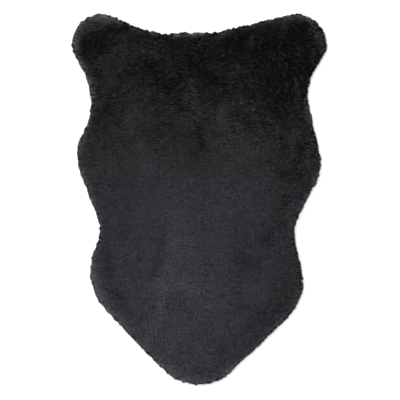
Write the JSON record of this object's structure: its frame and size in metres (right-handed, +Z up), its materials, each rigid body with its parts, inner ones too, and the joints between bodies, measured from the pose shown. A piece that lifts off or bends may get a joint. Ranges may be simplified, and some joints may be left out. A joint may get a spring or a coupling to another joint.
{
  "type": "faux sheepskin rug",
  "caption": "Hide-shaped rug of short dense faux fur with two rounded ears, wavy sides and a rounded tail, lying flat on its back.",
  "frame": {"origin": "middle of the outline's box, on the flat underside that lies on the floor", "axes": "+Z up out of the pile, +Y along the rug's length towards the two ears, +X across it to the right seen from above"},
  "size_m": [0.5498, 0.802, 0.02],
  "materials": {
    "pile": "short dense matt charcoal plush",
    "backing": "plain matt knitted backing cloth"
  },
  "bodies": {
    "root": {"pile_cloth": "pile"}
  },
  "joints": []
}
